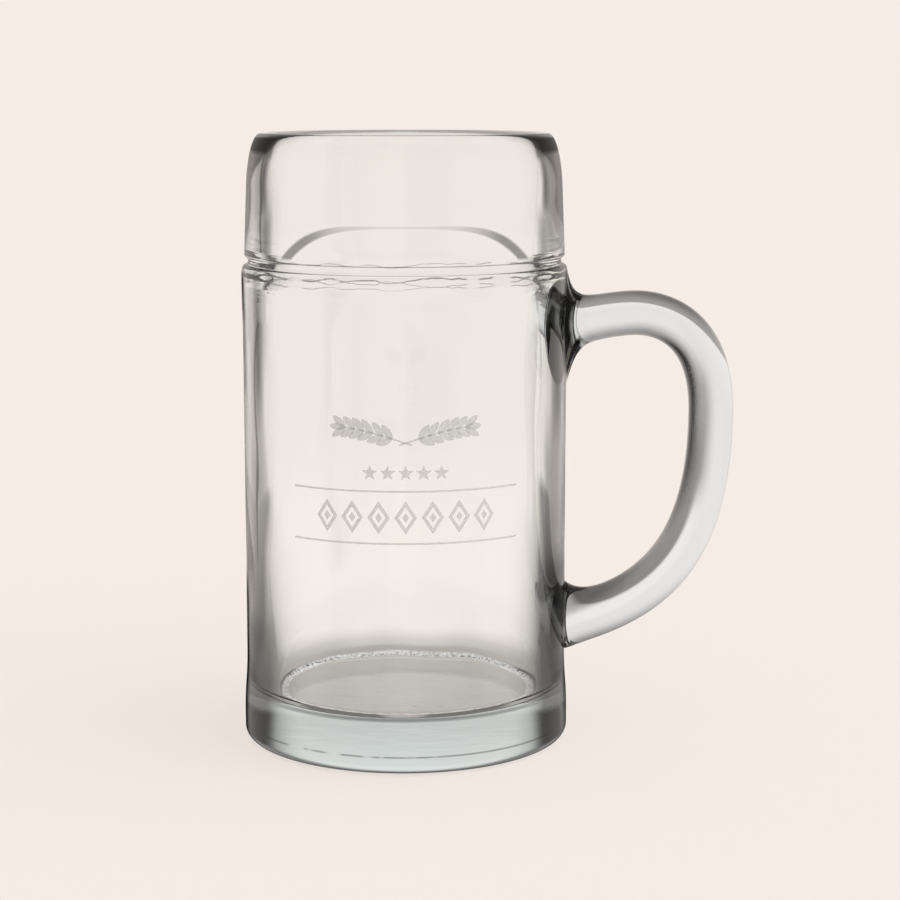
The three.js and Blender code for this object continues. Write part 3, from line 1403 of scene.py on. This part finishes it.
    def build(self) -> Shell:
        """Turns the profile about the Z axis.

        A point's place is its radius times the cosine and sine of the angle, and its height. The
        bore's radius also takes a slow ripple, the sum of sine waves of angle and height.

        Returns:
            The closed skin.
        """
        outer = np.vstack([self.body_profile(), self.collar_profile()])
        inner = self.bore_profile()
        profile = np.vstack([outer, inner])
        angle = np.linspace(0.0, 2 * math.pi, self.around, endpoint=False)[None, :]
        radius = profile[:, 0][:, None]
        height = profile[:, 1][:, None]
        run = height / self.height
        ripple = sum(
            each.share * np.sin(each.turns * angle + each.climb * run + each.start)
            for each in self.ripples
        )
        inside = (np.arange(len(profile)) >= len(outer) + self.fine)[:, None]
        fade = np.clip(radius / (self.body_radius - self.body_wall), 0, 1)
        calm = np.clip((self.height - height) / self.lip_calm, 0, 1)
        radius = radius + inside * fade * calm * self.wave * ripple
        level = np.broadcast_to(height, radius.shape)
        rings = np.stack([radius * np.cos(angle), radius * np.sin(angle), level], axis=-1)
        floor = np.array([0.0, 0.0, self.floor_thickness])
        return closed_rings(rings, np.zeros(3), floor)

    def dress(self, glass: bpy.types.Material) -> bpy.types.Object:
        """Puts the vessel into the scene in place of its plain solid.

        Args:
            glass: The vessel's finish.

        Returns:
            The piece.
        """
        piece = mesh_object("vessel_glass", self.build(), glass)
        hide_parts("vessel")
        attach(piece, "root")
        return piece


@dataclass(frozen=True)
class RootSpread:
    """How far the handle spreads where it meets the wall."""

    over: float
    under: float
    side: float
    reach: float


@dataclass
class Handle:
    """The solid glass loop, an oval carried along a bent line in the XZ plane."""

    vessel: Vessel
    tip: float
    thickness: float = 11.8 * MM
    width: float = 14 * MM
    lower_thickening: float = 1 * MM
    upper_root_drop: float = 14.9 * MM
    lower_root_height: float = 30.1 * MM
    lower_root_slope: float = math.radians(12.7)
    crown_offset: float = 18.4 * MM
    crown_rise: float = 1.9 * MM
    belly_drop: float = 24.4 * MM
    upper_bend_run: float = 0.28
    upper_bend_drop: float = 0.9
    lower_bend_drop: float = 0.55
    lower_bend_run: float = 0.78
    upper_root: RootSpread = RootSpread(8.7 * MM, 11.1 * MM, 5 * MM, 1.9 * MM)
    lower_root: RootSpread = RootSpread(0.8 * MM, 9.5 * MM, 0.8 * MM, 3.7 * MM)
    weld: float = 0.05 * MM
    around: int = 80
    along: int = 240
    line_steps: int = 200
    sunk_steps: int = 50
    search_share: float = 0.25
    cap_rings: int = 10
    line: np.ndarray = field(init=False)
    travelled: np.ndarray = field(init=False)
    belly_mark: float = field(init=False)
    root_end: float = field(init=False)

    def __post_init__(self) -> None:
        """Traces the line that the section follows."""
        self.line, self.travelled, self.belly_mark, self.root_end = self.centre_line()

    @classmethod
    def from_frame(cls, vessel: Vessel) -> "Handle":
        """Takes the handle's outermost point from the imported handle."""
        _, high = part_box("handle")
        return cls(vessel=vessel, tip=high.x)

    def centre_line(self) -> tuple[np.ndarray, np.ndarray, float, float]:
        """Traces the line that the section follows, from root to root.

        Returns:
            X and Z of each point, the distance along the line from the upper root's wall, and the
            distances at which the belly and the lower root's wall are passed.
        """
        wall = self.vessel.body_radius
        sunk = self.vessel.body_wall / 2
        root_z = self.vessel.groove_bottom - self.upper_root_drop
        upper = np.array([wall, root_z])
        crown = np.array([wall + self.crown_offset, root_z + self.crown_rise])
        belly = np.array([self.tip - self.thickness / 2, root_z - self.belly_drop])
        lower = np.array([wall, self.lower_root_height])
        slope = np.array([math.cos(self.lower_root_slope), math.sin(self.lower_root_slope)])
        across = np.array([1.0, 0.0])
        down = np.array([0.0, -1.0])
        rise_pull = across * self.crown_offset / 3
        upper_pull = across * (belly - crown)[0] * self.upper_bend_run
        upper_drop = down * (crown - belly)[1] * self.upper_bend_drop
        lower_drop = down * (belly - lower)[1] * self.lower_bend_drop
        lower_pull = slope * (belly - lower)[0] * self.lower_bend_run
        steps = self.line_steps
        stretches = [
            straight(upper - across * sunk, upper, self.sunk_steps),
            bend(upper, upper + rise_pull, crown - rise_pull, crown, steps),
            bend(crown, crown + upper_pull, belly - upper_drop, belly, steps),
            bend(belly, belly + lower_drop, lower + lower_pull, lower, steps),
            straight(lower, lower - slope * sunk, self.sunk_steps),
        ]
        line = np.vstack(stretches)
        travelled = np.concatenate([[0.0], np.cumsum(np.linalg.norm(np.diff(line, axis=0), axis=1))])
        marks = np.cumsum([len(stretch) for stretch in stretches])
        travelled = travelled - travelled[marks[0]]
        return line, travelled, float(travelled[marks[2]]), float(travelled[marks[3]])

    def surface(self, distance: np.ndarray, angle: np.ndarray) -> np.ndarray:
        """The handle's skin at a distance along its line and an angle round its section.

        The section is an oval: its height follows the cosine of the angle and its width the sine.
        Near each root all three half sizes grow by a spread that falls off exponentially with the
        distance from the wall, whose own curve lies further in at the sides.

        Args:
            distance: Distances along the line, as a grid.
            angle: Angles round the section, as a grid.

        Returns:
            Points, with X, Y and Z on the last axis.
        """
        line, travelled, belly = self.line, self.travelled, self.belly_mark
        wall = self.vessel.body_radius
        tangent = np.gradient(line, travelled, axis=0)
        tangent = tangent / np.linalg.norm(tangent, axis=1)[:, None]
        x, z, tx, tz = (
            np.interp(distance, travelled, column)
            for column in (line[:, 0], line[:, 1], tangent[:, 0], tangent[:, 1])
        )
        past = np.clip((distance - belly) / (self.root_end - belly), 0, 1)
        past = past * past * (3 - 2 * past)
        half = (self.thickness + self.lower_thickening * past) / 2
        over, under, side = half, half, np.full_like(half, self.width / 2)
        for root, away in ((self.upper_root, distance), (self.lower_root, self.root_end - distance)):
            reach = (self.width / 2 + root.side) * np.sin(angle)
            recess = wall - np.sqrt(wall**2 - reach**2)
            spread = np.exp(-np.maximum(away + recess, 0) / root.reach)
            over = over + root.over * spread
            under = under + root.under * spread
            side = side + root.side * spread
        rise = np.cos(angle) * np.where(np.cos(angle) > 0, over, under)
        return np.stack([x - tz * rise, side * np.sin(angle), z + tx * rise], axis=-1)

    def wall_crossing(self, angle: np.ndarray, start: float, end: float) -> np.ndarray:
        """Finds where the skin comes out of the wall, for each angle round the section.

        The skin is sampled from start to end, and the place where its distance from the axis
        passes the wall's radius is found on the straight line between two samples.

        Args:
            angle: Angles round the section.
            start: A distance along the line that lies inside the wall.
            end: A distance along the line that lies outside the wall.

        Returns:
            The distance along the line at each angle.
        """
        tries = np.linspace(start, end, self.line_steps * 2)[:, None]
        samples, angles = np.broadcast_arrays(tries, angle)
        points = self.surface(samples, angles)
        clear = np.hypot(points[..., 0], points[..., 1])
        clear = clear - self.vessel.wall_radius(points[..., 2]) + self.weld
        last = len(samples) - 1 - np.argmax(clear[::-1] < 0, axis=0)
        last = np.minimum(last, len(samples) - 2)
        column = np.arange(len(angle))
        before, after = clear[last, column], clear[last + 1, column]
        share = before / (before - after)
        return samples[last, column] + share * (samples[last + 1, column] - samples[last, column])

    def root_cap(self, ring: np.ndarray) -> tuple[np.ndarray, np.ndarray]:
        """Closes a root with a patch that lies on the wall's curve.

        Each ring of the patch is drawn from the root's rim towards its middle in Y and Z, and X
        follows from the wall's circle at that height.

        Args:
            ring: The root's rim.

        Returns:
            The patch's rings from the rim inward, and its middle point.
        """
        middle = ring.mean(axis=0)
        share = np.linspace(0.0, 1.0, self.cap_rings + 1)[1:, None, None]
        patch = (1 - share) * ring[None] + share * middle
        radius = self.vessel.wall_radius(patch[..., 2]) - self.weld
        patch[..., 0] = np.sqrt(radius**2 - patch[..., 1] ** 2)
        return patch[:-1], patch[-1, 0]

    def build(self) -> Shell:
        """Carries the oval along the line between the two places where it leaves the wall.

        Returns:
            The closed skin.
        """
        sunk = self.vessel.body_wall / 2
        span = self.root_end * self.search_share
        angle = np.linspace(0.0, 2 * math.pi, self.around, endpoint=False)
        start = self.wall_crossing(angle, -sunk, span)
        end = self.wall_crossing(angle, self.root_end + sunk, self.root_end - span)
        share = (1 - np.cos(np.linspace(0.0, math.pi, self.along)))[:, None] / 2
        distance = (1 - share) * start + share * end
        rings = self.surface(distance, np.broadcast_to(angle, distance.shape))
        upper_cap, upper_middle = self.root_cap(rings[0])
        lower_cap, lower_middle = self.root_cap(rings[-1])
        rings = np.concatenate([upper_cap[::-1], rings, lower_cap])
        return closed_rings(rings, upper_middle, lower_middle)

    def dress(self, glass: bpy.types.Material) -> bpy.types.Object:
        """Puts the handle into the scene in place of its plain solid.

        Args:
            glass: The handle's finish.

        Returns:
            The piece.
        """
        piece = mesh_object("handle_glass", self.build(), glass)
        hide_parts("handle")
        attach(piece, "root")
        return piece


@dataclass
class Etching:
    """The etched front: two ears of barley, five stars, and lozenges between two rules."""

    vessel: Vessel
    lift: float = 0.03 * MM
    skin: float = 0.02 * MM
    middle: float = 0.9 * MM
    ear_height: float = 87.8 * MM
    ear_start: Span = (-1.6 * MM, -3.2 * MM)
    ear_leave: Span = (4 * MM, -1.4 * MM)
    ear_arrive: Span = (10 * MM, 0.6 * MM)
    ear_end: Span = (15.4 * MM, 0.9 * MM)
    stalk_width: float = 0.45 * MM
    grains: int = 6
    first_grain: float = 0.3
    grain_length: float = 4.4 * MM
    grain_width: float = 1.8 * MM
    grain_lean: float = math.radians(36)
    grain_point: float = 1.5
    star_height: float = 77.5 * MM
    star_pitch: float = 4.49 * MM
    star_radius: float = 2.08 * MM
    star_waist: float = 0.42
    star_points: int = 5
    stars: int = 5
    rule_heights: Span = (72.9 * MM, 59.7 * MM)
    rule_length: float = 60.8 * MM
    rule_width: float = 0.48 * MM
    row_height: float = 66.3 * MM
    row_pitch: float = 6.8 * MM
    row_size: Span = (5.6 * MM, 8.4 * MM)
    row_stroke: float = 0.36
    row_core: float = 0.3
    row: int = 7
    shares: tuple[float, ...] = (0.35, 0.7, 1.0)
    steps: int = 6
    strip_steps: int = 60

    def wrap(self, flat: np.ndarray, lift: Union[float, np.ndarray]) -> np.ndarray:
        """Lays flat points on the front of the wall.

        The first coordinate is the way round the wall, so over the radius it is the angle from the
        front, and the second is the height.

        Args:
            flat: Points with the way round and the height on the last axis.
            lift: How far outside the wall each point lies.

        Returns:
            The points in space.
        """
        radius = self.vessel.body_radius
        angle = (flat[..., 0] + self.middle) / radius
        away = radius + lift
        return np.stack([away * np.sin(angle), -away * np.cos(angle), flat[..., 1]], axis=-1)

    def mark(self, outline: np.ndarray, centre: Sequence[float]) -> Shell:
        """A thin plate: its outline drawn in towards its centre, on both faces.

        Args:
            outline: Points round the mark, about its own centre.
            centre: Where the mark lies.

        Returns:
            The closed skin.
        """
        share = np.array(self.shares)[:, None, None]
        flat = np.asarray(centre) + share * outline
        low = self.wrap(flat, self.lift)
        high = self.wrap(flat, self.lift + self.skin)[::-1]
        ends = [self.wrap(np.asarray(centre), self.lift + part) for part in (0.0, self.skin)]
        return closed_rings(np.concatenate([low, high]), *ends)

    def section(self, left: np.ndarray, right: np.ndarray) -> np.ndarray:
        """The section of a stroke at each place along its two sides.

        Args:
            left: Points along one side.
            right: Points along the other side.

        Returns:
            Four corners in space for each place.
        """
        flat = np.stack([left, right, right, left], axis=1)
        lift = self.lift + self.skin * np.array([0.0, 0.0, 1.0, 1.0])
        return self.wrap(flat, lift)

    def strip(self, path: np.ndarray, width: float) -> Shell:
        """A stroke of even width along a path.

        Args:
            path: Points along the stroke's middle.
            width: The stroke's width.

        Returns:
            The closed skin.
        """
        run = np.gradient(path, axis=0)
        across = np.stack([-run[:, 1], run[:, 0]], axis=-1)
        across = across / np.linalg.norm(across, axis=1)[:, None] * width / 2
        rings = self.section(path - across, path + across)
        return closed_rings(rings, rings[0].mean(axis=0), rings[-1].mean(axis=0))

    def ear(self, turn: Turn) -> list[Shell]:
        """An ear of barley that lies to one side of the middle.

        A grain is an oval drawn to a point: its length follows the cosine of an angle and its width
        a power of the sine.

        Args:
            turn: The side.

        Returns:
            The stalk and its grains.
        """
        stalk = bend(self.ear_start, self.ear_leave, self.ear_arrive, self.ear_end, self.strip_steps)
        run = np.gradient(stalk, axis=0)
        heading = np.arctan2(run[:, 1], run[:, 0])
        angle = np.linspace(0.0, 2 * math.pi, self.strip_steps, endpoint=False)
        width = np.sign(np.sin(angle)) * np.abs(np.sin(angle)) ** self.grain_point
        oval = np.stack([self.grain_length * (1 + np.cos(angle)), self.grain_width * width], -1) / 2
        flip = np.array([turn.value, 1.0])
        base = np.array([0.0, self.ear_height])
        shells = [self.strip(stalk * flip + base, self.stalk_width)]
        last = self.strip_steps - 1
        places = np.linspace(self.first_grain * last, last, self.grains).astype(int)
        leans = [(place, side * self.grain_lean) for place in places for side in (-1, 1)]
        for place, lean in leans + [(last, 0.0)]:
            c, s = math.cos(heading[place] + lean), math.sin(heading[place] + lean)
            grain = oval @ np.array([(c, s), (-s, c)])
            centre = grain.mean(axis=0)
            shells.append(self.mark((grain - centre) * flip, (stalk[place] + centre) * flip + base))
        return shells

    def star_row(self) -> list[Shell]:
        """The five-pointed stars, side by side.

        A star's corners lie on two circles in turn, at even angles from the top.

        Returns:
            A skin for each star.
        """
        corner = np.arange(2 * self.star_points)
        angle = math.pi / 2 + corner * math.pi / self.star_points
        radius = self.star_radius * np.where(corner % 2, self.star_waist, 1.0)
        corners = radius[:, None] * np.stack([np.cos(angle), np.sin(angle)], axis=-1)
        outline = polygon(corners, self.steps)
        places = (np.arange(self.stars) - (self.stars - 1) / 2) * self.star_pitch
        return [self.mark(outline, (place, self.star_height)) for place in places]

    def lozenge_row(self) -> list[Shell]:
        """The hollow lozenges between the rules, each with a small one inside it.

        Returns:
            Two skins for each lozenge.
        """
        outline = polygon(lozenge(*self.row_size), 2 * self.steps)
        places = (np.arange(self.row) - (self.row - 1) / 2) * self.row_pitch
        shells = []
        for place in places:
            centre = np.array([place, self.row_height])
            inner = centre + outline * (1 - self.row_stroke)
            shells.append(closed_loop(self.section(centre + outline, inner)))
            shells.append(self.mark(outline * self.row_core, centre))
        return shells

    def rules(self) -> list[Shell]:
        """The two thin rules.

        Returns:
            A skin for each rule.
        """
        run = np.linspace(-0.5, 0.5, self.strip_steps) * self.rule_length
        return [
            self.strip(np.stack([run, np.full_like(run, height)], axis=-1), self.rule_width)
            for height in self.rule_heights
        ]

    def dress(self, frost: bpy.types.Material) -> bpy.types.Object:
        """Puts the etched marks into the scene as one piece.

        Args:
            frost: The marks' finish.

        Returns:
            The piece.
        """
        ears = self.ear(Turn.LEFT) + self.ear(Turn.RIGHT)
        marks = joined(ears + self.star_row() + self.lozenge_row() + self.rules())
        piece = mesh_object("etched_front", marks, frost)
        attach(piece, "root")
        return piece


@dataclass
class Studio:
    """The pale floor, the soft light round the mug and the camera."""

    floor_radius: float = 6.0
    floor_drop: float = 0.3 * MM
    floor_sides: int = 96
    camera_place: Axes = (11.9 * MM, -600 * MM, 172.4 * MM)
    camera_pitch: float = math.radians(9.07)
    camera_lens: float = 91.3
    camera_near: float = 10 * MM
    fill: float = 0.518
    key: float = 2.0
    key_power: float = 4.0
    key_direction: Axes = (0.62, -0.25, 0.74)

    def add_floor(self, finish: PaleFloor, backdrop: GlassBackdrop) -> bpy.types.Object:
        """Lays a round floor just under the standing face.

        Args:
            finish: The floor's finish.
            backdrop: What the glass shows of the floor.

        Returns:
            The floor.
        """
        angle = np.linspace(0.0, 2 * math.pi, self.floor_sides, endpoint=False)
        level = np.full_like(angle, -self.floor_drop)
        x, y = self.floor_radius * np.cos(angle), self.floor_radius * np.sin(angle)
        rim = np.stack([x, y, level], axis=-1)
        mesh = bpy.data.meshes.new("floor")
        mesh.from_pydata(rim.tolist(), [], [list(range(self.floor_sides))])
        mesh.materials.append(finish.material(backdrop))
        floor = bpy.data.objects.new("floor", mesh)
        bpy.context.scene.collection.objects.link(floor)
        return floor

    def light(self, cream: Colour, backdrop: GlassBackdrop) -> None:
        """Sets the world: cream to the eye and to glass, and soft white light from the right.

        Args:
            cream: The background's colour.
            backdrop: What the glass shows of the world.
        """
        scene = bpy.context.scene
        scene.world = bpy.data.worlds.new("studio")
        scene.world.use_nodes = True
        graph = ShaderGraph(scene.world.node_tree)
        direction = graph.node("ShaderNodeTexCoord", {}, {}, "Generated")
        lobe = graph.along(direction, self.key_direction).most(0.0) ** self.key_power
        glow = graph.scaled(WHITE, lobe * self.key + self.fill)
        in_glass = backdrop.shows(graph)
        tone = graph.scaled(cream, 1 - in_glass * (1 - backdrop.air(graph, direction)))
        soft, seen = (
            graph.node("ShaderNodeBackground", {}, {"Color": colour}) for colour in (glow, tone)
        )
        shown = in_glass.most(graph.light_path("Is Camera Ray"))
        mixed = graph.mix_shader(shown, soft, seen)
        graph.node("ShaderNodeOutputWorld", {}, {"Surface": mixed})

    def add_camera(self) -> bpy.types.Object:
        """Sets the camera at the photograph's viewing angle.

        Returns:
            The camera.
        """
        data = bpy.data.cameras.new("camera")
        data.lens = self.camera_lens
        data.clip_start = self.camera_near
        camera = bpy.data.objects.new("camera", data)
        camera.location = self.camera_place
        camera.rotation_euler = (math.pi / 2 - self.camera_pitch, 0.0, 0.0)
        bpy.context.scene.collection.objects.link(camera)
        bpy.context.scene.camera = camera
        return camera


def main() -> None:
    """Builds the mug and its studio."""
    logging.basicConfig(level=logging.INFO)
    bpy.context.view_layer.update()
    bpy.context.scene.view_settings.view_transform = "Standard"
    finish = PaleFloor()
    studio = Studio()
    backdrop = GlassBackdrop()
    studio.add_floor(finish, backdrop)
    studio.light(finish.cream, backdrop)
    studio.add_camera()
    vessel = Vessel.from_frame()
    handle = Handle.from_frame(vessel)
    for piece in (
        vessel.dress(VesselGlass().material()),
        handle.dress(HandleGlass().material()),
        Etching(vessel).dress(FrostedEtch().material()),
    ):
        LOG.info("%s has %d faces", piece.name, len(piece.data.polygons))


if __name__ == "__main__":
    main()
